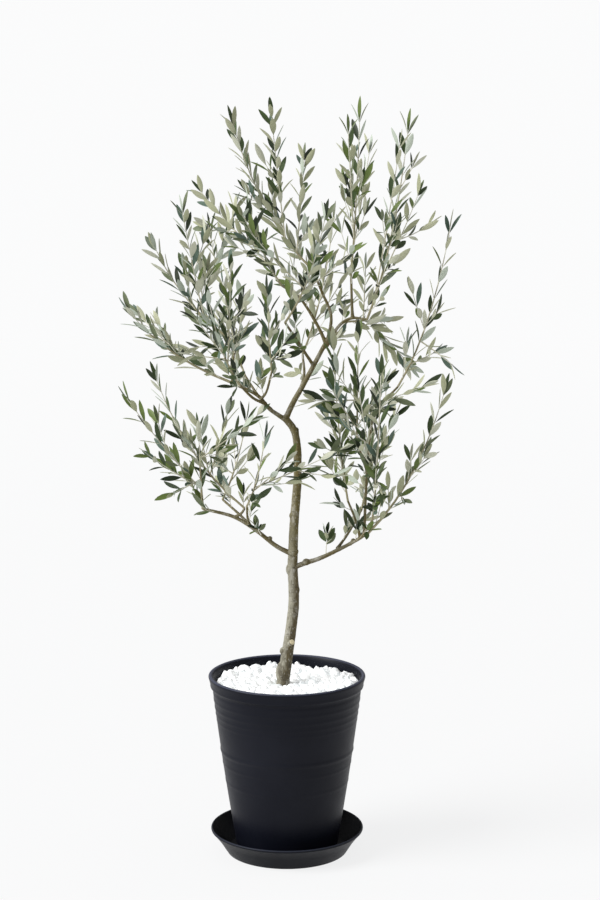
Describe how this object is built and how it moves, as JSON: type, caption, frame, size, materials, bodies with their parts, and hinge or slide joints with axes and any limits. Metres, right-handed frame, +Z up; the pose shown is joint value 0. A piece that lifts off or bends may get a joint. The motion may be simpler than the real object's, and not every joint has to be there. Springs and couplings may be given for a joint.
{
  "type": "potted olive tree",
  "caption": "Young olive tree with an airy, branching crown, standing in a round ribbed pot on a shallow saucer, its soil covered with pale pebbles.",
  "frame": {"origin": "middle of the saucer's flat underside", "axes": "+Z up, along the trunk; +X to the right seen from the tree's front; +Y towards its back"},
  "size_m": [0.6467, 0.5211, 1.442],
  "materials": {
    "plastic": "matte, slightly satin, charcoal",
    "soil": "rough and dark brown",
    "pebbles": "smooth, tumbled, white",
    "bark": "rough grey-brown bark",
    "foliage": "leathery grey-green leaves with paler undersides"
  },
  "bodies": {
    "root": {"saucer": "plastic", "pot": "plastic", "soil": "soil", "pebbles": "pebbles", "trunk": "bark", "low_left_bough": "bark", "low_right_bough": "bark", "left_bough": "bark", "leader_bough": "bark", "crown_left_bough": "bark", "crown_middle_bough": "bark", "crown_right_bough": "bark", "crown_top_bough": "bark", "low_left_inner_bough": "bark", "low_crossing_bough": "bark", "low_back_bough": "bark", "low_right_upper_bough": "bark", "low_right_inner_bough": "bark", "front_right_bough": "bark", "low_right_back_bough": "bark", "centre_right_bough": "bark", "centre_left_bough": "bark", "left_upper_bough": "bark", "front_left_bough": "bark", "back_left_bough": "bark", "front_bough": "bark", "back_bough": "bark", "back_right_bough": "bark", "foliage_low_left_tuft": "foliage", "foliage_low_right_tuft": "foliage", "foliage_crown_top": "foliage", "foliage_crown_middle": "foliage", "foliage_crown_right": "foliage", "foliage_crown_left": "foliage", "foliage_left_outer": "foliage", "foliage_left_upper": "foliage", "foliage_low_left_outer": "foliage", "foliage_low_left_inner": "foliage", "foliage_low_crossing": "foliage", "foliage_low_back": "foliage", "foliage_low_right_outer": "foliage", "foliage_right_tall": "foliage", "foliage_low_right_inner": "foliage", "foliage_front_right": "foliage", "foliage_low_right_back": "foliage", "foliage_centre_right": "foliage", "foliage_centre_left": "foliage", "foliage_front_left": "foliage", "foliage_back_left": "foliage", "foliage_front": "foliage", "foliage_back": "foliage", "foliage_back_right": "foliage"}
  },
  "joints": []
}
